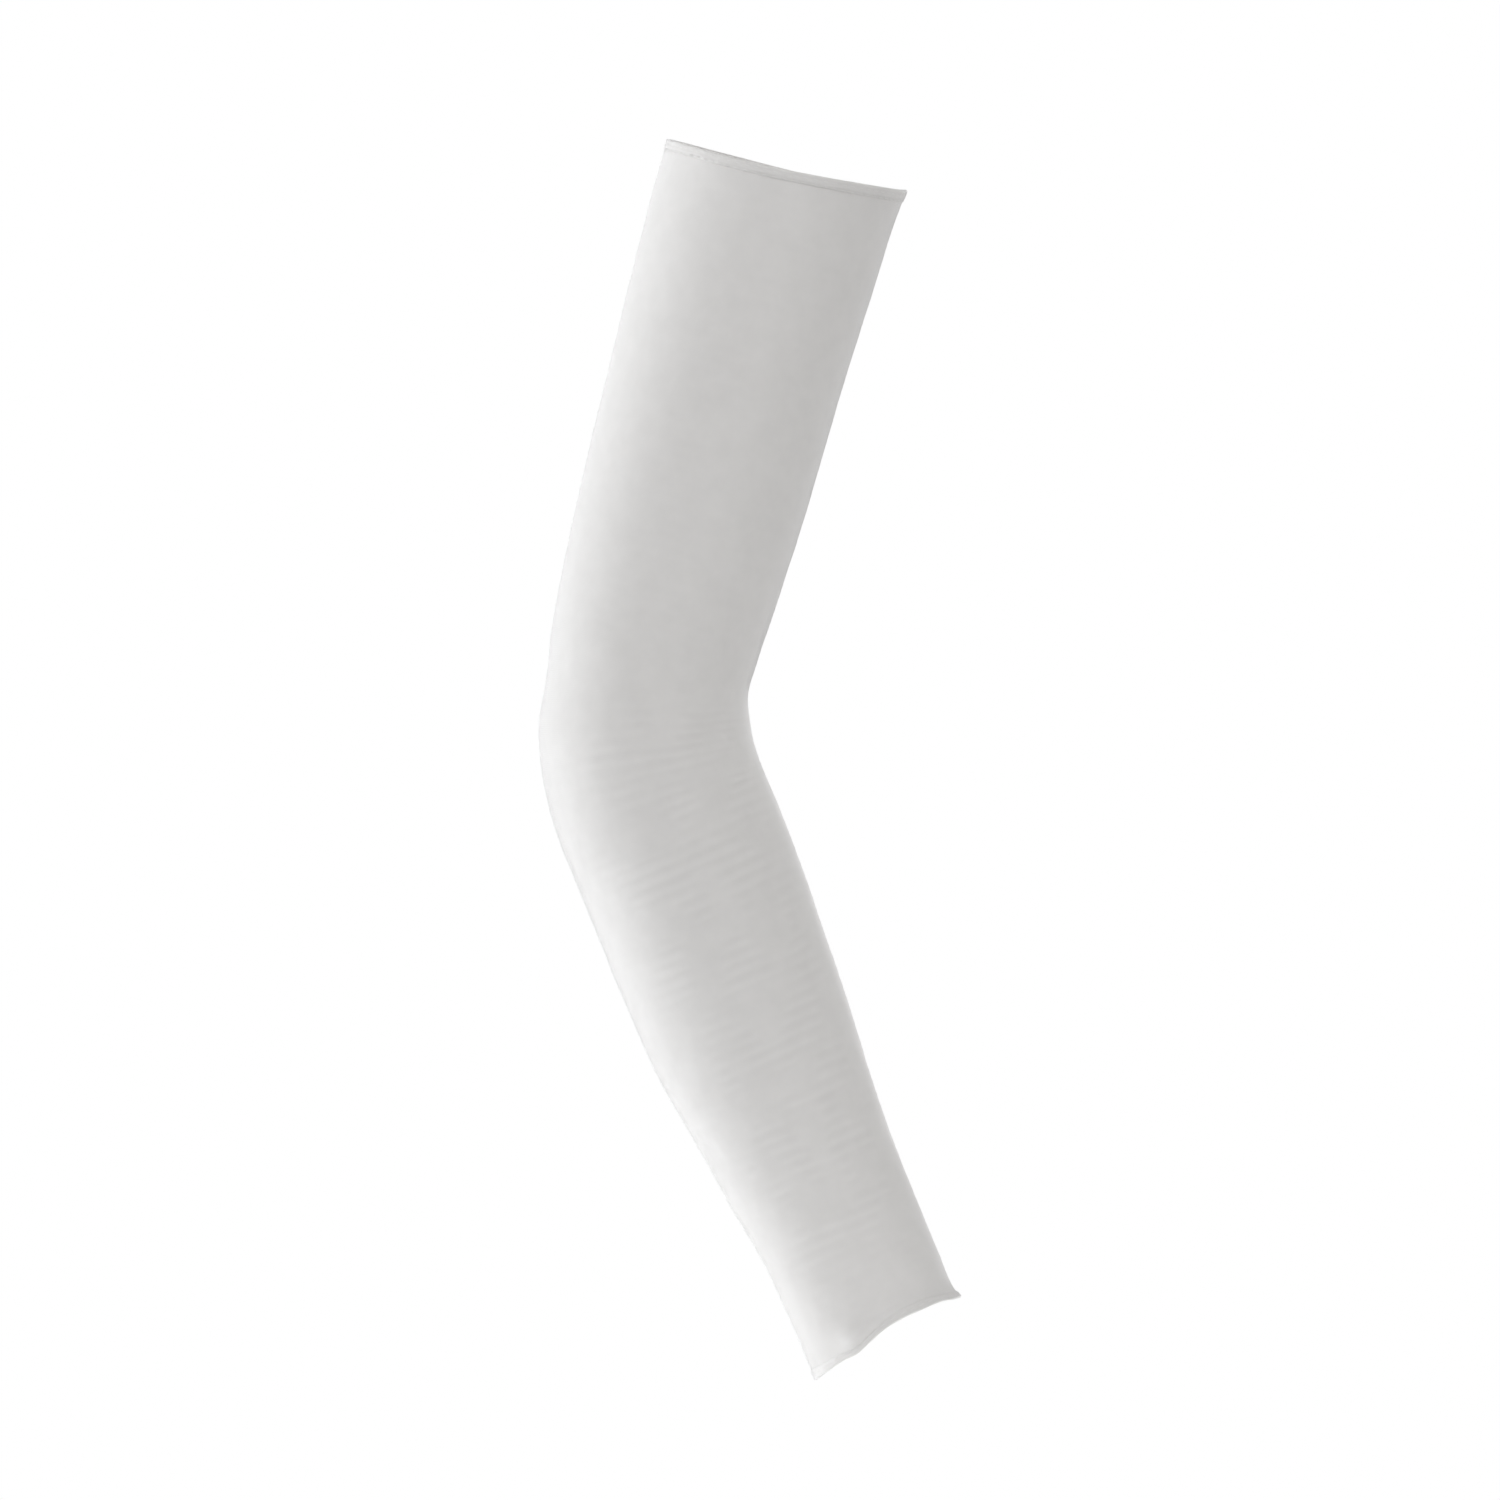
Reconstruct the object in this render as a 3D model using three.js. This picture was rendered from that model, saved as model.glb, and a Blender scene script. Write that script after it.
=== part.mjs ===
import * as THREE from 'three';

// Arm compression sleeve: an elastic knitted tube worn from the upper arm to the wrist, bent at the elbow.
// Millimetres, +Z up. The origin is the middle of the elbow, on the arm's centre line. The arm bends in
// the XZ plane: +X is the crook of the elbow, -X is its point, and -Y is the front of the sleeve.

// Lengths along the centre line, from the elbow to the two rims
const UPPER_LENGTH = 205.5;
const FOREARM_LENGTH = 229;

// The bend, in degrees: the upper arm leans towards +X from the vertical
const UPPER_LEAN = 15.2;
const BEND_ANGLE = 38;
const BEND_RADIUS = 94;

// Widths in the plane of the bend, and depths from front to back
const UPPER_WIDTH = 85;
const UPPER_DEPTH = 79;
const ELBOW_WIDTH = 71;
const ELBOW_DEPTH = 74;
const FOREARM_WIDTH = 76;
const FOREARM_DEPTH = 71;
const WRIST_WIDTH = 57;
const WRIST_DEPTH = 44;

// The knit, and the welts: the knit turned in once at each rim
const KNIT_WALL = 1.0;
const UPPER_WELT_HEIGHT = 4.2;
const WRIST_WELT_HEIGHT = 3.6;
const WELT_PROUD = 0.4;
const WELT_GAP = 0.3;

// How much further from the elbow one side of each rim reaches than the other side, and the length of
// tube over which that slant fades out
const UPPER_RIM_RISE = 5.3;
const WRIST_RIM_RISE = 7.2;
const RIM_FADE = 55;

// Height of the pucker beside the wrist rim, and depth of the dimple in the crook
const PUCKER_HEIGHT = 1.3;
const DIMPLE_DEPTH = 0.9;

const SIDES = 48;
const RINGS = 36;
const WELT_ROUND_STEPS = 4;

const upper = { width: UPPER_WIDTH, depth: UPPER_DEPTH };
const elbow = { width: ELBOW_WIDTH, depth: ELBOW_DEPTH };
const forearm = { width: FOREARM_WIDTH, depth: FOREARM_DEPTH };
const wrist = { width: WRIST_WIDTH, depth: WRIST_DEPTH };

// Sections from the upper rim to the wrist rim. along: share of the upper arm's length (negative) or of
// the forearm's (positive). crook and point: how far the section reaches from the centre line to +X and
// -X, as shares of the width of the size it follows. deep: half the depth, as a share of that depth.
const SECTIONS = [
  { along: -1.000, follows: upper, crook: 0.518, point: 0.488, deep: 0.500 },
  { along: -0.945, follows: upper, crook: 0.504, point: 0.491, deep: 0.496 },
  { along: -0.854, follows: upper, crook: 0.495, point: 0.491, deep: 0.489 },
  { along: -0.650, follows: upper, crook: 0.475, point: 0.480, deep: 0.477 },
  { along: -0.444, follows: upper, crook: 0.466, point: 0.466, deep: 0.465 },
  { along: -0.273, follows: upper, crook: 0.447, point: 0.448, deep: 0.456 },
  { along: -0.146, follows: elbow, crook: 0.514, point: 0.507, deep: 0.490 },
  { along: -0.083, follows: elbow, crook: 0.510, point: 0.489, deep: 0.494 },
  { along: -0.017, follows: elbow, crook: 0.523, point: 0.518, deep: 0.502 },
  { along: 0.061, follows: forearm, crook: 0.501, point: 0.489, deep: 0.520 },
  { along: 0.153, follows: forearm, crook: 0.509, point: 0.489, deep: 0.511 },
  { along: 0.275, follows: forearm, crook: 0.500, point: 0.493, deep: 0.497 },
  { along: 0.397, follows: forearm, crook: 0.476, point: 0.495, deep: 0.472 },
  { along: 0.504, follows: forearm, crook: 0.454, point: 0.486, deep: 0.437 },
  { along: 0.611, follows: wrist, crook: 0.561, point: 0.596, deep: 0.640 },
  { along: 0.720, follows: wrist, crook: 0.532, point: 0.547, deep: 0.573 },
  { along: 0.825, follows: wrist, crook: 0.523, point: 0.493, deep: 0.523 },
  { along: 0.917, follows: wrist, crook: 0.521, point: 0.481, deep: 0.500 },
  { along: 0.978, follows: wrist, crook: 0.521, point: 0.479, deep: 0.498 },
  { along: 1.000, follows: wrist, crook: 0.542, point: 0.479, deep: 0.505 },
];

// The outline of each rim. turn: place round the arm, 0 at the crook, a quarter at the front, a half at
// the elbow's point. reach: how much further from the elbow the rim lies there, as a share of its rise.
const UPPER_RIM = [
  { turn: 0.000, reach: 0.50 },
  { turn: 0.070, reach: 0.23 },
  { turn: 0.135, reach: -0.07 },
  { turn: 0.200, reach: -0.40 },
  { turn: 0.270, reach: -0.66 },
  { turn: 0.340, reach: -0.67 },
  { turn: 0.430, reach: -0.52 },
  { turn: 0.500, reach: -0.37 },
  { turn: 0.590, reach: -0.17 },
  { turn: 0.680, reach: -0.04 },
  { turn: 0.800, reach: 0.10 },
  { turn: 0.900, reach: 0.40 },
];
const WRIST_RIM = [
  { turn: 0.000, reach: -0.50 },
  { turn: 0.060, reach: -0.57 },
  { turn: 0.110, reach: -0.74 },
  { turn: 0.165, reach: -0.76 },
  { turn: 0.210, reach: -0.74 },
  { turn: 0.240, reach: -0.60 },
  { turn: 0.275, reach: -0.31 },
  { turn: 0.310, reach: -0.02 },
  { turn: 0.345, reach: 0.04 },
  { turn: 0.400, reach: 0.25 },
  { turn: 0.500, reach: 0.50 },
  { turn: 0.625, reach: 0.17 },
  { turn: 0.750, reach: -0.36 },
  { turn: 0.875, reach: -0.64 },
];

// Folds and dents in the knit. along and turn: the middle. long: how far it spreads along the arm, as a
// share of that part's length. round: how far it spreads round the arm, in turns. out: its height.
const FOLDS = [
  { along: 0.975, turn: 0.310, long: 0.018, round: 0.028, out: PUCKER_HEIGHT },
  { along: 0.000, turn: 0.110, long: 0.040, round: 0.030, out: -DIMPLE_DEPTH },
];

function arcLength() {
  return THREE.MathUtils.degToRad(BEND_ANGLE) * BEND_RADIUS;
}

// A share of the upper arm's or the forearm's length, as a distance from the elbow
function fromElbow(share) {
  return share < 0 ? share * UPPER_LENGTH : share * FOREARM_LENGTH;
}

// Smooth curves through the rows of a table: position and values are read from each row
function smoothTable(rows, position, values) {
  const columns = rows.flatMap(values);
  return new THREE.CubicInterpolant(rows.map(position), columns, columns.length / rows.length);
}

const sectionCurve = smoothTable(
  SECTIONS,
  (row) => fromElbow(row.along),
  (row) => [
    row.crook * row.follows.width,
    row.point * row.follows.width,
    row.deep * row.follows.depth,
  ],
);

// A rim's table, closed by a row on either side of the full turn
function rimCurve(rows) {
  const last = rows[rows.length - 1];
  const closed = [
    { turn: last.turn - 1, reach: last.reach },
    ...rows,
    { turn: 1, reach: rows[0].reach },
    { turn: 1 + rows[1].turn, reach: rows[1].reach },
  ];
  return smoothTable(closed, (row) => row.turn, (row) => [row.reach]);
}

const upperRimCurve = rimCurve(UPPER_RIM);
const wristRimCurve = rimCurve(WRIST_RIM);

// Centre of the section at a distance from the elbow, with the direction from there to the crook
function armFrame(distance) {
  const halfArc = arcLength() / 2;
  const onArc = THREE.MathUtils.clamp(distance, -halfArc, halfArc);
  const lean = THREE.MathUtils.degToRad(BEND_ANGLE / 2 - UPPER_LEAN) + onArc / BEND_RADIUS;
  const middleLean = THREE.MathUtils.degToRad(BEND_ANGLE / 2 - UPPER_LEAN);
  const toCrook = new THREE.Vector3(Math.cos(lean), 0, Math.sin(lean));
  const toWrist = new THREE.Vector3(Math.sin(lean), 0, -Math.cos(lean));
  const centre = new THREE.Vector3(Math.cos(middleLean), 0, Math.sin(middleLean))
    .sub(toCrook)
    .multiplyScalar(BEND_RADIUS)
    .addScaledVector(toWrist, distance - onArc);
  return { centre, toCrook };
}

// How far a fold or dent lifts the knit at a place
function foldHeight(distance, turn) {
  return FOLDS.reduce((sum, fold) => {
    const long = (distance - fromElbow(fold.along)) / Math.abs(fromElbow(fold.long));
    const round = (turn - fold.turn) / fold.round;
    return sum + fold.out * Math.exp(-long * long - round * round);
  }, 0);
}

// The slant of the nearer rim, fading out along the tube
function rimShift(distance, turn) {
  const fade = (gap) => Math.max(0, 1 - gap / RIM_FADE) ** 2;
  const toUpper = UPPER_RIM_RISE * upperRimCurve.evaluate(turn)[0] * fade(distance + UPPER_LENGTH);
  const toWrist = WRIST_RIM_RISE * wristRimCurve.evaluate(turn)[0] * fade(FOREARM_LENGTH - distance);
  return toWrist - toUpper;
}

// A point of the knit: its distance along the arm, its turn round the arm, and how far it lies outside
// the sleeve's outer face
function knitPoint(distance, turn, outset) {
  const [crook, point, deep] = sectionCurve.evaluate(distance);
  const angle = 2 * Math.PI * turn;
  const across = Math.cos(angle) > 0 ? crook : point;
  const normal = new THREE.Vector2(Math.cos(angle) / across, -Math.sin(angle) / deep).normalize();
  const lift = outset + foldHeight(distance, turn);
  const { centre, toCrook } = armFrame(distance + rimShift(distance, turn));
  const sideways = across * Math.cos(angle) + lift * normal.x;
  const forwards = -deep * Math.sin(angle) + lift * normal.y;
  return centre.addScaledVector(toCrook, sideways).add(new THREE.Vector3(0, forwards, 0));
}

// A closed ring-shaped solid: a profile of {distance, outset} corners carried once round the arm
function knitRing(profile) {
  const positions = [];
  const index = [];
  profile.forEach(({ distance, outset }, row) => {
    const nextRow = (row + 1) % profile.length;
    for (let side = 0; side < SIDES; side += 1) {
      const nextSide = (side + 1) % SIDES;
      const a = row * SIDES + side;
      const b = row * SIDES + nextSide;
      const c = nextRow * SIDES + nextSide;
      const d = nextRow * SIDES + side;
      positions.push(...knitPoint(distance, side / SIDES, outset).toArray());
      index.push(a, c, d, a, b, c);
    }
  });
  const geometry = new THREE.BufferGeometry();
  geometry.setAttribute('position', new THREE.Float32BufferAttribute(positions, 3));
  geometry.setIndex(index);
  geometry.computeVertexNormals();
  return geometry;
}

// The tube between the welts: its outer face down the arm, then its inner face back up
function bodyProfile() {
  const start = -UPPER_LENGTH + UPPER_WELT_HEIGHT + WELT_GAP;
  const end = FOREARM_LENGTH - WRIST_WELT_HEIGHT - WELT_GAP;
  const distances = Array.from({ length: RINGS }, (_, ring) => (
    THREE.MathUtils.lerp(start, end, ring / (RINGS - 1))
  ));
  return [
    ...distances.map((distance) => ({ distance, outset: 0 })),
    ...distances.toReversed().map((distance) => ({ distance, outset: -KNIT_WALL })),
  ];
}

// A welt's section: two layers of knit, round at the rim where the knit turns in. rim is the rim's
// distance from the elbow, and outward is +1 where the rim lies towards the wrist, else -1.
function weltProfile(rim, outward, height) {
  const radius = KNIT_WALL;
  const middle = WELT_PROUD - radius;
  const inward = rim - outward * height;
  const profile = [{ distance: inward, outset: middle + radius }];
  for (let step = 0; step <= WELT_ROUND_STEPS; step += 1) {
    const angle = Math.PI * (step / WELT_ROUND_STEPS);
    profile.push({
      distance: rim - outward * radius * (1 - Math.sin(angle)),
      outset: middle + radius * Math.cos(angle),
    });
  }
  profile.push({ distance: inward, outset: middle - radius });
  return outward > 0 ? profile : profile.reverse();
}

function knitMaterial(color, roughness) {
  return new THREE.MeshStandardMaterial({ color, roughness, metalness: 0 });
}

const sleeve = new THREE.Group();

function addPiece(name, profile, material) {
  const mesh = new THREE.Mesh(knitRing(profile), material);
  mesh.name = name;
  sleeve.add(mesh);
}

addPiece('sleeve_body', bodyProfile(), knitMaterial(0xd2d2d0, 0.85));
addPiece('upper_welt', weltProfile(-UPPER_LENGTH, -1, UPPER_WELT_HEIGHT), knitMaterial(0xd6d6d4, 0.8));
addPiece('wrist_welt', weltProfile(FOREARM_LENGTH, 1, WRIST_WELT_HEIGHT), knitMaterial(0xdadad8, 0.8));

export default sleeve;
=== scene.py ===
import math

import bpy
import numpy as np
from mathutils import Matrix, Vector, noise


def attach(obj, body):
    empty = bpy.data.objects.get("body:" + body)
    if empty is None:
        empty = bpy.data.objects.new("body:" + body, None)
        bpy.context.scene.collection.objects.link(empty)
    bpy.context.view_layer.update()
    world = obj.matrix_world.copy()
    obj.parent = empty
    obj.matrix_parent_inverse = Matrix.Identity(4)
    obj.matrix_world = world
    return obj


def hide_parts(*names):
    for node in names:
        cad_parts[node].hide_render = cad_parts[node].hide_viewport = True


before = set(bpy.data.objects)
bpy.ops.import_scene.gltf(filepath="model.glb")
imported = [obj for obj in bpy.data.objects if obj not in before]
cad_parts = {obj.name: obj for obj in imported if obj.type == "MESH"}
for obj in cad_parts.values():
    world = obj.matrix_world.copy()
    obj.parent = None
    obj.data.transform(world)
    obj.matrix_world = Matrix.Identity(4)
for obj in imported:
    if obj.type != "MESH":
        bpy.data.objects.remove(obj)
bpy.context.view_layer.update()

MM = 0.001

# Lengths along the centre line of the arm, from the elbow to the two rims
UPPER_LENGTH = 205.5 * MM
FOREARM_LENGTH = 229 * MM

# The bend: the upper arm leans towards +X from the vertical
UPPER_LEAN = math.radians(15.2)
BEND_ANGLE = math.radians(38)
BEND_RADIUS = 94 * MM

# Width in the plane of the bend, and depth from front to back
UPPER = (85 * MM, 79 * MM)
ELBOW = (71 * MM, 74 * MM)
FOREARM = (76 * MM, 71 * MM)
WRIST = (57 * MM, 44 * MM)

KNIT_WALL = 1.0 * MM
UPPER_WELT_HEIGHT = 4.2 * MM
WRIST_WELT_HEIGHT = 3.6 * MM
WELT_PROUD = 0.4 * MM
WELT_RADIUS = 0.8 * MM  # of the fold at the rim, half the thickness of its two layers
TUCKED_IN = 1.6 * MM  # how far the tube's edge goes on inside a welt
UPPER_RIM_RISE = 5.3 * MM
WRIST_RIM_RISE = 7.2 * MM
RIM_FADE = 55 * MM

# Sections from the upper rim to the wrist rim: share of the upper arm's (negative) or the forearm's
# length, the size that the section follows, its reach to the crook and to the elbow's point as shares
# of that width, and half its depth as a share of that depth
SECTIONS = [
    (-1.000, UPPER, 0.518, 0.488, 0.500),
    (-0.945, UPPER, 0.504, 0.491, 0.496),
    (-0.854, UPPER, 0.495, 0.491, 0.489),
    (-0.650, UPPER, 0.475, 0.480, 0.477),
    (-0.444, UPPER, 0.466, 0.466, 0.465),
    (-0.273, UPPER, 0.447, 0.448, 0.456),
    (-0.146, ELBOW, 0.514, 0.507, 0.490),
    (-0.083, ELBOW, 0.510, 0.489, 0.494),
    (-0.017, ELBOW, 0.523, 0.518, 0.502),
    (0.061, FOREARM, 0.501, 0.489, 0.520),
    (0.153, FOREARM, 0.509, 0.489, 0.511),
    (0.275, FOREARM, 0.500, 0.493, 0.497),
    (0.397, FOREARM, 0.476, 0.495, 0.472),
    (0.504, FOREARM, 0.454, 0.486, 0.437),
    (0.611, WRIST, 0.561, 0.596, 0.640),
    (0.720, WRIST, 0.532, 0.547, 0.573),
    (0.825, WRIST, 0.523, 0.493, 0.523),
    (0.917, WRIST, 0.521, 0.481, 0.500),
    (0.978, WRIST, 0.521, 0.479, 0.498),
    (1.000, WRIST, 0.542, 0.479, 0.505),
]

# Outline of each rim: turn round the arm (0 at the crook, a quarter at the front, a half at the elbow's
# point), and how much further from the elbow the rim lies there, as a share of its rise
UPPER_RIM = [
    (0.000, 0.50), (0.070, 0.23), (0.135, -0.07), (0.200, -0.40), (0.270, -0.66), (0.340, -0.67),
    (0.430, -0.52), (0.500, -0.37), (0.590, -0.17), (0.680, -0.04), (0.800, 0.10), (0.900, 0.40),
]
WRIST_RIM = [
    (0.000, -0.50), (0.060, -0.57), (0.110, -0.74), (0.165, -0.76), (0.210, -0.74), (0.240, -0.60),
    (0.275, -0.31), (0.310, -0.02), (0.345, 0.04), (0.400, 0.25), (0.500, 0.50), (0.625, 0.17),
    (0.750, -0.36), (0.875, -0.64),
]

# Height of each welt by turn: the wrist welt narrows under the pucker at the front
UPPER_WELT = [(0.000, UPPER_WELT_HEIGHT), (0.500, UPPER_WELT_HEIGHT)]
WRIST_WELT = [
    (0.000, 3.2 * MM), (0.100, 3.2 * MM), (0.180, 3.9 * MM), (0.235, 3.0 * MM), (0.270, 2.5 * MM),
    (0.320, 2.3 * MM), (0.380, 2.9 * MM), (0.460, 3.6 * MM), (0.750, 3.6 * MM),
]

# Folds and dents: distance from the elbow and turn of the middle, spread along the arm and round it, and
# height
FOLDS = [
    (0.975 * FOREARM_LENGTH, 0.310, 0.018 * FOREARM_LENGTH, 0.028, 1.3 * MM),
    (0.000 * FOREARM_LENGTH, 0.110, 0.040 * FOREARM_LENGTH, 0.030, -0.9 * MM),
]

# Creases and ridges: distance from the elbow and turn of the start and of the end, width, and height
CREASES = [
    (224.4 * MM, 0.253, 223.9 * MM, 0.318, 1.9 * MM, 1.2 * MM),
    (221.4 * MM, 0.240, 220.4 * MM, 0.316, 1.4 * MM, -0.25 * MM),
    (223.6 * MM, 0.236, 223.4 * MM, 0.196, 0.8 * MM, 0.28 * MM),
    (-187.1 * MM, 0.242, -192.9 * MM, 0.209, 1.0 * MM, -0.12 * MM),
    (-127.5 * MM, 0.133, -130.9 * MM, 0.113, 1.0 * MM, -0.12 * MM),
    (-130.9 * MM, 0.113, -127.7 * MM, 0.080, 1.0 * MM, -0.12 * MM),
    (-76.5 * MM, 0.205, -86.4 * MM, 0.156, 1.4 * MM, -0.10 * MM),
    (-19.5 * MM, 0.220, -22.7 * MM, 0.182, 1.2 * MM, -0.10 * MM),
    (4.0 * MM, 0.112, 6.6 * MM, 0.104, 1.2 * MM, -0.40 * MM),
]

# The photograph's frame: its width at the object, its centre from the elbow, and a long lens far away
FRAME_WIDTH = 525 * MM
FRAME_CENTRE = Vector((37.03 * MM, 0, -5.85 * MM))
CAMERA_DISTANCE = 5.0
SENSOR_WIDTH = 36


def smooth_table(rows):
    """A smooth curve through rows of (position, value, ...), flat beyond both ends."""
    table = np.array(rows, float)
    places, values = table[:, 0], table[:, 1:]
    slopes = np.diff(values, axis=0) / np.diff(places)[:, None]
    tangents = np.vstack([slopes[:1], (slopes[1:] + slopes[:-1]) / 2, slopes[-1:]])

    def at(position):
        t = np.clip(np.asarray(position, float), places[0], places[-1])
        i = np.clip(np.searchsorted(places, t, side="right") - 1, 0, len(places) - 2)
        step = (places[i + 1] - places[i])[..., None]
        p = (t - places[i])[..., None] / step
        return (
            (2 * p**3 - 3 * p**2 + 1) * values[i]
            + (p**3 - 2 * p**2 + p) * step * tangents[i]
            + (3 * p**2 - 2 * p**3) * values[i + 1]
            + (p**3 - p**2) * step * tangents[i + 1]
        )

    return at


def closed_table(rows):
    """The same for rows that go once round the arm."""
    before = (rows[-1][0] - 1, rows[-1][1])
    after = [(1, rows[0][1]), (1 + rows[1][0], rows[1][1])]
    return smooth_table([before, *rows, *after])


def from_elbow(share):
    """Distance from the elbow of a share of the upper arm or of the forearm."""
    return share * (UPPER_LENGTH if share < 0 else FOREARM_LENGTH)


section_at = smooth_table(
    [
        (from_elbow(along), crook * size[0], point * size[0], deep * size[1])
        for along, size, crook, point, deep in SECTIONS
    ]
)
upper_rim_at = closed_table(UPPER_RIM)
wrist_rim_at = closed_table(WRIST_RIM)
upper_welt_at = closed_table(UPPER_WELT)
wrist_welt_at = closed_table(WRIST_WELT)


def arm_frame(distance):
    """Centre of the section at a distance from the elbow, and the direction from there to the crook."""
    half_arc = BEND_ANGLE * BEND_RADIUS / 2
    on_arc = np.clip(distance, -half_arc, half_arc)
    middle_lean = BEND_ANGLE / 2 - UPPER_LEAN
    lean = middle_lean + on_arc / BEND_RADIUS
    zero = np.zeros_like(lean)
    to_crook = np.stack([np.cos(lean), zero, np.sin(lean)], -1)
    to_wrist = np.stack([np.sin(lean), zero, -np.cos(lean)], -1)
    bend_centre = BEND_RADIUS * np.array([math.cos(middle_lean), 0, math.sin(middle_lean)])
    centre = bend_centre - BEND_RADIUS * to_crook + (distance - on_arc)[..., None] * to_wrist
    return centre, to_crook


def fold_height(distance, turn):
    """Height of the folds and dents, which tube and welts share."""
    height = np.zeros_like(distance)
    for along, middle, spread, round_arm, out in FOLDS:
        height += out * np.exp(-(((distance - along) / spread) ** 2) - ((turn - middle) / round_arm) ** 2)
    return height


def rim_shift(distance, turn):
    """How far the slant of the nearer rim moves the knit along the arm."""
    near_upper = np.maximum(0, 1 - (distance + UPPER_LENGTH) / RIM_FADE) ** 2
    near_wrist = np.maximum(0, 1 - (FOREARM_LENGTH - distance) / RIM_FADE) ** 2
    to_wrist = WRIST_RIM_RISE * wrist_rim_at(turn)[..., 0] * near_wrist
    return to_wrist - UPPER_RIM_RISE * upper_rim_at(turn)[..., 0] * near_upper


def knit_points(distance, turn, outset):
    """Points of the knit, from their distance along the arm, turn round it and height over its face."""
    section = section_at(distance)
    angle = 2 * np.pi * turn
    across = np.where(np.cos(angle) > 0, section[..., 0], section[..., 1])
    deep = section[..., 2]
    normal = np.stack([np.cos(angle) / across, -np.sin(angle) / deep], -1)
    normal /= np.linalg.norm(normal, axis=-1, keepdims=True)
    lift = outset + fold_height(distance, turn)
    centre, to_crook = arm_frame(distance + rim_shift(distance, turn))
    sideways = across * np.cos(angle) + lift * normal[..., 0]
    forwards = -deep * np.sin(angle) + lift * normal[..., 1]
    return centre + sideways[..., None] * to_crook + forwards[..., None] * np.array([0, 1, 0])


def soft_noise(distance, turn, size, seed):
    """Smooth noise over the knit, about 1 high, with features of about that size."""
    x = UPPER[0] / 2 * np.cos(2 * np.pi * turn) / size
    y = UPPER[0] / 2 * np.sin(2 * np.pi * turn) / size
    z = distance / size
    flat = [noise.noise(Vector((a, b, c + seed))) for a, b, c in zip(x.ravel(), y.ravel(), z.ravel())]
    return np.array(flat).reshape(distance.shape)


def smooth_step(value):
    """0 up to 1, with soft ends."""
    part = np.clip(value, 0, 1)
    return part * part * (3 - 2 * part)


RIB_PITCH = 4.5 * MM
RIB_HEIGHT = 0.17 * MM
RIB_PATCH = 14 * MM  # size of the patches that the ribs come in
RIB_PATCH_EDGE = 1.7  # how sharply the patches end
RIB_STRAY = 0.25  # how far a rib strays from its place, as a share of the pitch
RIB_STRAY_LENGTH = 30 * MM

# Where the ribs fade: the share of them that is left there, the value at which they begin to rise, and
# the span over which they come up. The first two go by distance from the elbow, and the others by the
# sine and the cosine of the angle round the arm.
BELOW_ELBOW = (0.12, -20 * MM, 28 * MM)
ABOVE_WRIST = (0.25, 205 * MM, -25 * MM)
OFF_EDGES = (0.3, 0.4, 0.35)
OFF_POINT = (0.15, -0.85, 0.5)


def rising(value, least, start, span):
    """From the least share up to 1, as the value goes on from the start over the span."""
    return least + (1 - least) * smooth_step((value - start) / span)


def ribs(distance, turn):
    """Cross courses from -1 to 1: patches of them over the elbow and the forearm, front and back."""
    angle = 2 * np.pi * turn
    strength = smooth_step(0.5 + RIB_PATCH_EDGE * soft_noise(distance, turn, RIB_PATCH, seed=3.0))
    strength *= rising(distance, *BELOW_ELBOW) * rising(distance, *ABOVE_WRIST)
    strength *= rising(np.abs(np.sin(angle)), *OFF_EDGES) * rising(np.cos(angle), *OFF_POINT)
    stray = RIB_STRAY * soft_noise(distance, turn, RIB_STRAY_LENGTH, seed=9.0)
    return strength * np.cos(2 * np.pi * (distance / RIB_PITCH + stray))


# Mottling: size of its features, their height, and the seed of their noise
MOTTLE = [
    (22 * MM, 0.16 * MM, 21.0),
    (9 * MM, 0.09 * MM, 27.0),
    (5 * MM, 0.05 * MM, 33.0),
]


def mottle(distance, turn):
    """The slight unevenness of stretched knit."""
    return sum(height * soft_noise(distance, turn, size, seed) for size, height, seed in MOTTLE)


CREASE_ENDS = 0.25  # share of a crease's height that it has at its two ends
UPPER_CALM = 8 * MM  # length over which courses and mottling fade out towards each welt
WRIST_CALM = 12 * MM


def creases(distance, turn):
    """Short lines where the knit is pinched in or pushed out."""
    height = np.zeros_like(distance)
    girth = np.pi * (UPPER[0] + WRIST[0]) / 2
    for from_distance, from_turn, to_distance, to_turn, width, out in CREASES:
        run = np.array([to_distance - from_distance, (to_turn - from_turn) * girth])
        place = np.stack([distance - from_distance, (turn - from_turn) * girth], -1)
        share = np.clip(place @ run / (run @ run), 0, 1)
        gap = np.linalg.norm(place - share[..., None] * run, axis=-1)
        fade = CREASE_ENDS + (1 - CREASE_ENDS) * np.sin(np.pi * share)
        height += out * fade * np.exp(-((gap / width) ** 2))
    return height


def calm(distance):
    """1 along the tube, down to 0 beside the welts."""
    near_upper = smooth_step((distance + UPPER_LENGTH - UPPER_WELT_HEIGHT) / UPPER_CALM)
    return near_upper * smooth_step((FOREARM_LENGTH - WRIST_WELT_HEIGHT - distance) / WRIST_CALM)


def placed(name, data):
    """A new object in the scene with this mesh, light or camera."""
    thing = bpy.data.objects.new(name, data)
    bpy.context.collection.objects.link(thing)
    return thing


def smooth_piece(name, points, faces):
    """A new smooth-shaded object of these points and faces."""
    mesh = bpy.data.meshes.new(name)
    mesh.from_pydata(points, [], faces)
    mesh.polygons.foreach_set("use_smooth", np.ones(len(faces), bool))
    mesh.update()
    return placed(name, mesh)


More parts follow.
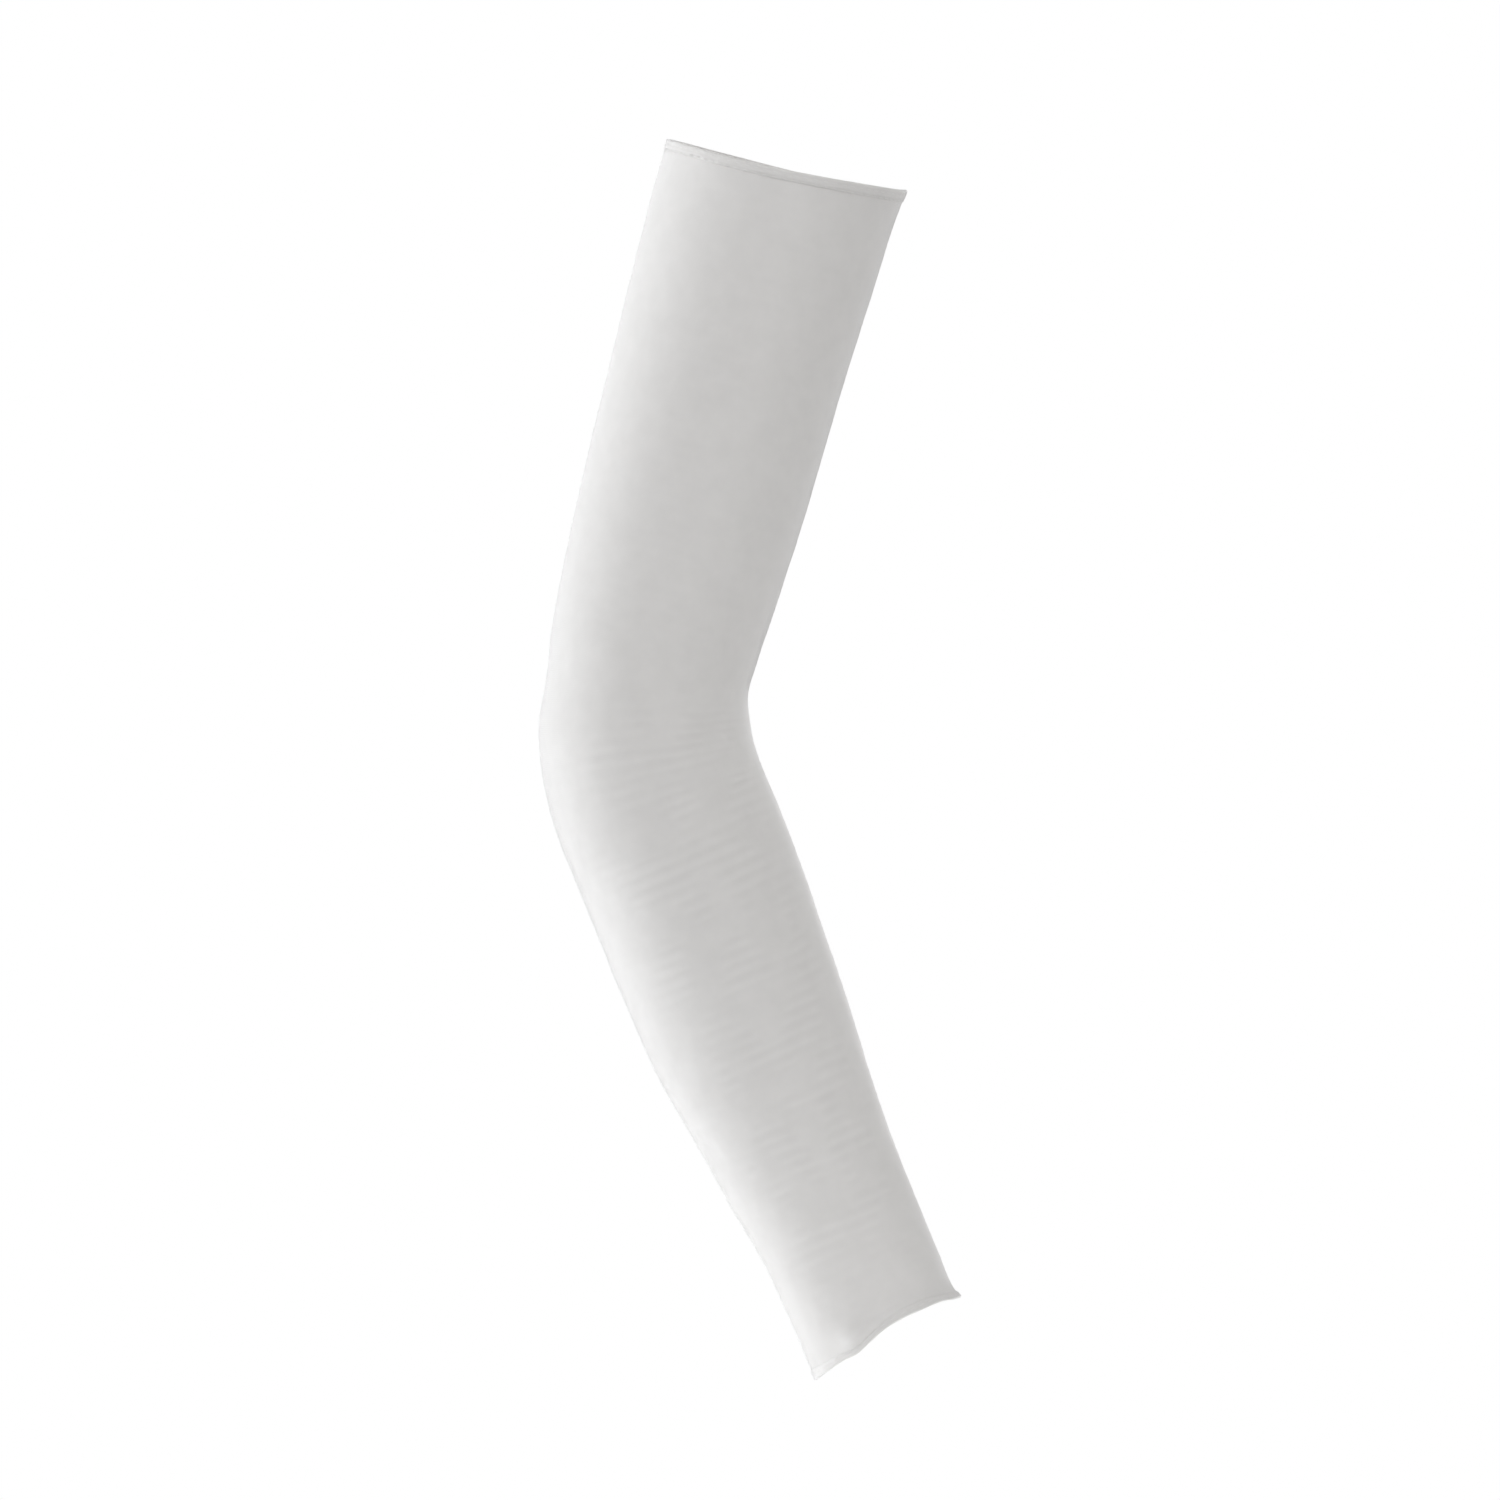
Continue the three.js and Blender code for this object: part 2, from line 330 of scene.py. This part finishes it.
def ring_piece(name, distances, outsets):
    """A closed ring of knit: rows of (distance, outset over the face) carried once round the arm."""
    rows, sides = distances.shape
    turn = np.broadcast_to(np.arange(sides) / sides, distances.shape)
    points = knit_points(distances, turn, outsets)
    row, side = np.meshgrid(np.arange(rows), np.arange(sides), indexing="ij")
    next_row, next_side = (row + 1) % rows, (side + 1) % sides
    corners = [(row, side), (row, next_side), (next_row, next_side), (next_row, side)]
    faces = np.stack([r * sides + s for r, s in corners], -1).reshape(-1, 4)
    piece = smooth_piece(name, points.reshape(-1, 3).tolist(), faces.tolist())
    round_arm = [side, side + 1, side + 1, side]
    along_arm = [distances[r, s] for r, s in corners]
    places = np.stack([np.stack([u / sides, v], -1) for u, v in zip(round_arm, along_arm)], axis=-2)
    layer = piece.data.uv_layers.new(name="knit")
    layer.data.foreach_set("uv", places.astype(np.float32).ravel())
    return piece


BODY_SIDES = 144
BODY_RING = 0.86 * MM  # spacing of the outer face's rings
PUCKER_RING = 0.4 * MM  # their spacing beside the wrist, where the knit puckers
PUCKER_REACH = 15 * MM
LINING_RING = 4 * MM  # spacing of the inner face's rings
TUCK_DEPTH = 0.5 * KNIT_WALL  # how far the tube's edge dips inside a welt


def spaced(start, end, spacing):
    """Places from the start, about that far apart, without the end."""
    return np.linspace(start, end, round((end - start) / spacing), endpoint=False)


def body_piece():
    """The tube: its outer face down the arm with all its relief, then its plain inner face back up."""
    start = -UPPER_LENGTH + UPPER_WELT_HEIGHT - TUCKED_IN
    end = FOREARM_LENGTH - WRIST_WELT_HEIGHT + TUCKED_IN
    pucker = FOREARM_LENGTH - PUCKER_REACH
    outer = np.concatenate([spaced(start, pucker, BODY_RING), spaced(pucker, end, PUCKER_RING), [end]])
    inner = np.concatenate([[start], spaced(start, end, LINING_RING)[1:], [end]])[::-1]
    turns = np.arange(BODY_SIDES) / BODY_SIDES
    distance, turn = np.meshgrid(outer, turns, indexing="ij")
    wrist_edge = FOREARM_LENGTH - wrist_welt_at(turn)[..., 0]
    upper_edge = -UPPER_LENGTH + UPPER_WELT_HEIGHT
    under_welt = np.maximum(upper_edge - distance, distance - wrist_edge) / TUCKED_IN
    tucked = -TUCK_DEPTH * smooth_step(under_welt)
    courses = calm(distance) * ribs(distance, turn)
    relief = RIB_HEIGHT * courses + calm(distance) * mottle(distance, turn) + creases(distance, turn)
    lining = np.broadcast_to(inner[:, None], (len(inner), BODY_SIDES))
    piece = ring_piece(
        "knit_tube",
        np.vstack([distance, lining]),
        np.vstack([relief + tucked, np.full(lining.shape, -KNIT_WALL)]),
    )
    # The courses also paint shade into the knit's colour: darker in the hollows between them, lighter on
    # their tops
    painted_course_shade = piece.data.attributes.new("painted_course_shade", "FLOAT", "POINT")
    painted_course_shade.data.foreach_set("value", np.vstack([courses, np.zeros(lining.shape)]).ravel())
    return piece


WELT_SIDES = 432
WELT_ROWS = 15
FOLD_ROWS = 11
WELT_EDGE = 0.05 * MM  # how proud the thinned inner edge still is
WELT_SLOPE = 0.6  # share of the welt's height over which it thins out
WELT_LUMPS = 0.1 * MM
LUMP_SIZE = 7 * MM

# Rows of stitches: distance from the rim, and number of stitches
UPPER_SEAMS = [(1.7 * MM, 76), (3.7 * MM, 76)]
WRIST_SEAMS = [(2.0 * MM, 48)]
SEAM_WIDTH = 0.42 * MM
SEAM_SHARE = 0.3  # share of the pull that a seam has between two stitches
STITCH_PULL = 0.1 * MM
STITCH_SHARE = 0.7  # length of a stitch as a share of the pitch
STITCH_RADIUS = 0.14 * MM
STITCH_SEAT = 0.4  # depth of the thread's middle under the welt's face, as a share of the pull
STITCH_SINK = 1.6  # how deep its ends go in, in radii for each radius that they lose
STITCH_END = 0.12  # square of its width at the ends, as a share of that at the middle
STITCH_STEPS = 6
STITCH_CORNERS = 6
SMALL_TURN = 1e-3  # a step round the arm, which shows the way that a stitch runs


def seam_dents(from_rim, turn, seams):
    """The knit is pulled in along a seam, most of all where the thread goes through."""
    dent = np.zeros_like(from_rim)
    for place, count in seams:
        across = np.exp(-(((from_rim - place) / SEAM_WIDTH) ** 2))
        through = (0.5 + 0.5 * np.cos(2 * np.pi * count * turn)) ** 2
        dent -= STITCH_PULL * across * (SEAM_SHARE + (1 - SEAM_SHARE) * through)
    return dent


def welt_piece(name, rim, outward, height_at, seams):
    """Two layers of knit, round at the rim where the knit turns in, thinned out at the inner edge."""
    turns = np.arange(WELT_SIDES) / WELT_SIDES
    share, turn = np.meshgrid(np.linspace(1, 0, WELT_ROWS)[:-1], turns, indexing="ij")
    middle = WELT_PROUD - WELT_RADIUS
    flat = WELT_RADIUS + share * (height_at(turn)[..., 0] - WELT_RADIUS)
    rise = np.sin(np.pi / 2 * np.clip((1 - share) / WELT_SLOPE, 0, 1))
    proud = WELT_EDGE + (WELT_PROUD - WELT_EDGE) * rise
    lumps = WELT_LUMPS * soft_noise(rim - outward * flat, turn, LUMP_SIZE, seed=5.0)
    face = proud + lumps + seam_dents(flat, turn, seams)
    angle, _ = np.meshgrid(np.linspace(0, math.pi, FOLD_ROWS), turns, indexing="ij")
    fold = WELT_RADIUS * (1 - np.sin(angle))
    from_rim = np.vstack([flat, fold, flat[::-1]])
    inside = np.full(flat.shape, middle - WELT_RADIUS)
    fold_lumps = np.clip(np.cos(angle), 0, 1) * lumps[-1]
    outset = np.vstack([face, middle + WELT_RADIUS * np.cos(angle) + fold_lumps, inside])
    if outward < 0:
        from_rim, outset = from_rim[::-1], outset[::-1]
    return ring_piece(name, rim - outward * from_rim, outset)


def stitch_row(distance, height, count):
    """Vertices and faces of one row of stitches round the arm."""
    steps = np.linspace(-0.5, 0.5, STITCH_STEPS)
    swell = np.sqrt(np.maximum(STITCH_END, 1 - (2 * steps) ** 2))
    ring = 2 * np.pi * np.arange(STITCH_CORNERS) / STITCH_CORNERS
    turn = (np.arange(count)[:, None] + 0.5 + STITCH_SHARE * steps[None, :]) / count
    place = np.full_like(turn, distance)
    middle = knit_points(place, turn, np.full_like(turn, height))
    outwards = knit_points(place, turn, np.full_like(turn, height + MM)) - middle
    outwards /= np.linalg.norm(outwards, axis=-1, keepdims=True)
    onwards = knit_points(place, turn + SMALL_TURN, np.full_like(turn, height)) - middle
    onwards /= np.linalg.norm(onwards, axis=-1, keepdims=True)
    sideways = np.cross(outwards, onwards)
    sink = (STITCH_SINK * STITCH_RADIUS * (swell - 1))[None, :, None] * outwards
    radius = (STITCH_RADIUS * swell)[None, :, None, None]
    points = (middle + sink)[:, :, None, :] + radius * (
        np.cos(ring)[None, None, :, None] * outwards[:, :, None, :]
        + np.sin(ring)[None, None, :, None] * sideways[:, :, None, :]
    )
    faces = []
    size = len(steps) * len(ring)
    for stitch in range(count):
        base = stitch * size
        for step in range(len(steps) - 1):
            for i in range(len(ring)):
                j = (i + 1) % len(ring)
                a, b = base + step * len(ring), base + (step + 1) * len(ring)
                faces.append((a + i, b + i, b + j, a + j))
        faces.append(tuple(base + i for i in range(len(ring))))
        faces.append(tuple(base + size - 1 - i for i in range(len(ring))))
    return points.reshape(-1, 3), faces


def stitches_piece(name, rim, outward, seams):
    """All the stitches of one welt, in a row for each seam."""
    points, faces = [], []
    height = WELT_PROUD - STITCH_SEAT * STITCH_PULL
    for place, count in seams:
        row_points, row_faces = stitch_row(rim - outward * place, height, count)
        faces += [tuple(i + len(points) for i in face) for face in row_faces]
        points += row_points.tolist()
    return smooth_piece(name, points, faces)


CLOTH_SPECULAR = 0.2
SHEEN_ROUGHNESS = 0.3


class Nodes:
    """Short ways to add and link shader nodes."""

    def __init__(self, material):
        material.use_nodes = True
        self.tree = material.node_tree
        self.shader = self.tree.nodes["Principled BSDF"]

    def add(self, kind, **settings):
        node = self.tree.nodes.new(kind)
        for name, value in settings.items():
            setattr(node, name, value)
        return node

    def link(self, source, target):
        self.tree.links.new(source, target)

    def math(self, operation, *values):
        node = self.add("ShaderNodeMath", operation=operation)
        for socket, value in zip(node.inputs, values):
            if isinstance(value, (int, float)):
                socket.default_value = value
            else:
                self.link(value, socket)
        return node.outputs[0]

    def shaded(self, color, shade):
        """The colour, made lighter or darker by a factor that varies, as the base colour."""
        tint = self.add("ShaderNodeVectorMath", operation="SCALE")
        tint.inputs[0].default_value = color
        self.link(shade, tint.inputs["Scale"])
        self.link(tint.outputs[0], self.shader.inputs["Base Color"])

    def bump(self, height, strength, distance):
        bump = self.add("ShaderNodeBump")
        bump.inputs["Strength"].default_value = strength
        bump.inputs["Distance"].default_value = distance
        self.link(height, bump.inputs["Height"])
        self.link(bump.outputs[0], self.shader.inputs["Normal"])

    def cloth(self, roughness, sheen):
        self.shader.inputs["Roughness"].default_value = roughness
        self.shader.inputs["Specular IOR Level"].default_value = CLOTH_SPECULAR
        self.shader.inputs["Sheen Weight"].default_value = sheen
        self.shader.inputs["Sheen Roughness"].default_value = SHEEN_ROUGHNESS


WALES = 420  # lengthwise rows of loops round the arm
COURSE_PITCH = 0.5 * MM
LEG_SLANT = 1.3  # courses that a loop's leg rises over a wale's width
LOOP_DEPTH = 0.3  # share of the height that falls between one loop and the next


def knit_loops(nodes):
    """Height of the knit's loops, 0 to 1: two slanting legs in each wale."""
    place = nodes.add("ShaderNodeSeparateXYZ")
    nodes.link(nodes.add("ShaderNodeUVMap", uv_map="knit").outputs[0], place.inputs[0])
    wale = nodes.math("MULTIPLY", place.outputs[0], float(WALES))
    course = nodes.math("DIVIDE", place.outputs[1], COURSE_PITCH)
    across = nodes.math("ABSOLUTE", nodes.math("SUBTRACT", nodes.math("FRACT", wale), 0.5))
    legs = nodes.math("ABSOLUTE", nodes.math("SINE", nodes.math("MULTIPLY", across, 2 * math.pi)))
    slanted = nodes.math("MULTIPLY_ADD", across, LEG_SLANT, course)
    loops = nodes.math("COSINE", nodes.math("MULTIPLY", slanted, 2 * math.pi))
    return nodes.math("MULTIPLY", legs, nodes.math("MULTIPLY_ADD", loops, LOOP_DEPTH, 1 - LOOP_DEPTH))


KNIT_COLOR = (0.735, 0.7225, 0.710)
PATCH_SCALE = 150  # of the colour's unevenness, in features a metre

# How much lighter the colour gets with each of these, and its share where there is none of it. The
# patches are the knit's own uneven tone; the courses and loops are painted shade, darker in their
# hollows.
PATCH_SHADE = (0.09, 0.925)
COURSE_PAINTED_SHADE = (0.022, 1.0)
LOOP_PAINTED_SHADE = (0.06, 0.97)
LOOP_BUMP = (0.35, 0.08 * MM)  # strength and depth


def knit_material(name, color):
    """Matt elastic knit: uneven pale colour, painted shade between courses and loops, and soft fuzz."""
    material = bpy.data.materials.new(name)
    nodes = Nodes(material)
    height = knit_loops(nodes)
    patches = nodes.add("ShaderNodeTexNoise")
    patches.inputs["Scale"].default_value = PATCH_SCALE
    patches.inputs["Detail"].default_value = 4
    nodes.link(nodes.add("ShaderNodeTexCoord").outputs["Object"], patches.inputs["Vector"])
    uneven = nodes.math("MULTIPLY_ADD", patches.outputs[0], *PATCH_SHADE)
    # Painted shade: the colour is darker in the hollows between the courses
    painted_course_shade = nodes.add("ShaderNodeAttribute", attribute_name="painted_course_shade").outputs["Fac"]
    courses = nodes.math("MULTIPLY_ADD", painted_course_shade, *COURSE_PAINTED_SHADE)
    # Painted shade: the colour is darker in the hollows between the loops
    loops = nodes.math("MULTIPLY_ADD", height, *LOOP_PAINTED_SHADE)
    nodes.shaded(color, nodes.math("MULTIPLY", uneven, nodes.math("MULTIPLY", courses, loops)))
    nodes.bump(height, *LOOP_BUMP)
    nodes.cloth(roughness=0.9, sheen=1.0)
    return material


THREAD_COLOR = (0.76, 0.75, 0.74)
TWIST_SCALE = 5200
TWIST_SHADE = (0.12, 0.93)
TWIST_BUMP = (0.3, 0.05 * MM)


def thread_material(name, color):
    """Spun sewing thread: fine twist over a smooth pale colour."""
    material = bpy.data.materials.new(name)
    nodes = Nodes(material)
    twist = nodes.add("ShaderNodeTexNoise")
    twist.inputs["Scale"].default_value = TWIST_SCALE
    twist.inputs["Detail"].default_value = 2
    nodes.link(nodes.add("ShaderNodeTexCoord").outputs["Object"], twist.inputs["Vector"])
    nodes.shaded(color, nodes.math("MULTIPLY_ADD", twist.outputs[0], *TWIST_SHADE))
    nodes.bump(twist.outputs[0], *TWIST_BUMP)
    nodes.cloth(roughness=0.6, sheen=0.4)
    return material


def add_camera():
    """A long lens far in front, level with the sleeve."""
    data = bpy.data.cameras.new("camera")
    data.sensor_width = SENSOR_WIDTH
    data.lens = SENSOR_WIDTH * CAMERA_DISTANCE / FRAME_WIDTH
    data.clip_end = 100
    camera = placed("camera", data)
    camera.location = FRAME_CENTRE + Vector((0, -CAMERA_DISTANCE, 0))
    camera.rotation_euler = (math.pi / 2, 0, 0)
    bpy.context.scene.camera = camera


WHITE = (1, 1, 1)
COOL = (0.957, 0.977, 1)

# Soft boxes round the sleeve: azimuth from the camera's side towards +X and elevation, both in degrees,
# distance and width in metres, power in watts, and colour. The near ones lift the wrist.
LIGHTS = [
    ("left_low", -105, -25, 2.0, 1.0, 24.3, COOL),
    ("left_high", -105, 15, 2.0, 1.0, 12.1, COOL),
    ("front_left", -60, -10, 2.0, 1.0, 6.9, COOL),
    ("front", -30, 0, 2.0, 1.0, 3.3, WHITE),
    ("top", 0, 55, 2.0, 1.0, 16.0, WHITE),
    ("right", 70, 20, 2.0, 1.0, 7.3, WHITE),
    ("behind_right", 130, -15, 2.0, 1.0, 4.2, WHITE),
    ("wrist_behind", 150, -45, 0.9, 0.6, 0.9, WHITE),
    ("wrist_right", 110, -55, 0.55, 0.4, 0.25, WHITE),
    ("wrist_front", 30, -65, 0.55, 0.4, 0.42, WHITE),
    ("wrist_low", 60, -62, 0.42, 0.25, 0.07, WHITE),
]


def add_light(name, azimuth, elevation, distance, size, power, color):
    """A square soft box that points at the sleeve and isn't seen itself."""
    turn, rise = math.radians(azimuth), math.radians(elevation)
    level = math.cos(rise)
    direction = Vector((math.sin(turn) * level, -math.cos(turn) * level, math.sin(rise)))
    data = bpy.data.lights.new(name, "AREA")
    data.size = size
    data.energy = power
    data.color = color
    light = placed(name, data)
    light.location = distance * direction
    light.rotation_euler = direction.to_track_quat("Z", "Y").to_euler()
    light.visible_camera = False


FLOOR_DEPTH = 1.7
FLOOR_RADIUS = 17.5  # wide, but its far edge stays below the photograph's frame
FLOOR_SIDES = 96
FLOOR_COLOR = (0.9, 0.9, 0.9, 1)
FLOOR_PALER = 0.27  # a glow that the camera sees on it and that doesn't light the sleeve


def add_floor():
    """A wide, plain, pale disc under the sleeve."""
    mesh = bpy.data.meshes.new("floor")
    turns = [2 * math.pi * side / FLOOR_SIDES for side in range(FLOOR_SIDES)]
    edge = [(FLOOR_RADIUS * math.cos(a), FLOOR_RADIUS * math.sin(a), -FLOOR_DEPTH) for a in turns]
    mesh.from_pydata(edge, [], [tuple(range(FLOOR_SIDES))])
    material = bpy.data.materials.new("floor")
    material.use_nodes = True
    shader = material.node_tree.nodes["Principled BSDF"]
    shader.inputs["Base Color"].default_value = FLOOR_COLOR
    shader.inputs["Roughness"].default_value = 0.9
    shader.inputs["Emission Color"].default_value = (1, 1, 1, 1)
    seen = material.node_tree.nodes.new("ShaderNodeLightPath")
    paler = material.node_tree.nodes.new("ShaderNodeMath")
    paler.operation = "MULTIPLY"
    paler.inputs[1].default_value = FLOOR_PALER
    material.node_tree.links.new(seen.outputs["Is Camera Ray"], paler.inputs[0])
    material.node_tree.links.new(paler.outputs[0], shader.inputs["Emission Strength"])
    mesh.materials.append(material)
    placed("floor", mesh)


AMBIENT = 0.24
BACKDROP = 1.25
BACKDROP_FROM = 0.3  # how far a direction points away from the camera where the backdrop begins
BACKDROP_FULL = 0.9


def add_world():
    """White as the camera sees it; for the sleeve, pale all round and bright straight behind it."""
    world = bpy.data.worlds.new("studio")
    world.use_nodes = True
    tree = world.node_tree
    tree.nodes.clear()
    white = tree.nodes.new("ShaderNodeBackground")
    white.inputs["Color"].default_value = (1, 1, 1, 1)
    white.inputs["Strength"].default_value = 1.0
    soft = tree.nodes.new("ShaderNodeBackground")
    soft.inputs["Color"].default_value = (1, 1, 1, 1)
    way = tree.nodes.new("ShaderNodeTexCoord")
    split = tree.nodes.new("ShaderNodeSeparateXYZ")
    spread = tree.nodes.new("ShaderNodeMapRange")
    spread.interpolation_type = "SMOOTHSTEP"
    spread.inputs["From Min"].default_value = BACKDROP_FROM
    spread.inputs["From Max"].default_value = BACKDROP_FULL
    spread.inputs["To Min"].default_value = AMBIENT
    spread.inputs["To Max"].default_value = BACKDROP
    path = tree.nodes.new("ShaderNodeLightPath")
    mix = tree.nodes.new("ShaderNodeMixShader")
    out = tree.nodes.new("ShaderNodeOutputWorld")
    tree.links.new(way.outputs["Generated"], split.inputs[0])
    tree.links.new(split.outputs["Y"], spread.inputs[0])
    tree.links.new(spread.outputs[0], soft.inputs["Strength"])
    tree.links.new(path.outputs["Is Camera Ray"], mix.inputs[0])
    tree.links.new(soft.outputs[0], mix.inputs[1])
    tree.links.new(white.outputs[0], mix.inputs[2])
    tree.links.new(mix.outputs[0], out.inputs[0])
    bpy.context.scene.world = world


add_camera()
add_world()
add_floor()
for row in LIGHTS:
    add_light(*row)

body = body_piece()
upper_welt = welt_piece("upper_hem", -UPPER_LENGTH, -1, upper_welt_at, UPPER_SEAMS)
wrist_welt = welt_piece("wrist_hem", FOREARM_LENGTH, 1, wrist_welt_at, WRIST_SEAMS)
upper_stitches = stitches_piece("upper_stitches", -UPPER_LENGTH, -1, UPPER_SEAMS)
wrist_stitches = stitches_piece("wrist_stitches", FOREARM_LENGTH, 1, WRIST_SEAMS)

knit = knit_material("knit", KNIT_COLOR)
welt_knit = knit_material("welt_knit", KNIT_COLOR)
thread = thread_material("thread", THREAD_COLOR)
for piece, material, node, slot in [
    (body, knit, "sleeve_body", "knit"),
    (upper_welt, welt_knit, "upper_welt", "welt"),
    (wrist_welt, welt_knit, "wrist_welt", "welt"),
    (upper_stitches, thread, None, "welt"),
    (wrist_stitches, thread, None, "welt"),
]:
    piece.data.materials.append(material)
    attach(piece, "root")
    if node:
        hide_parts(node)

bpy.context.scene.view_settings.view_transform = "Standard"
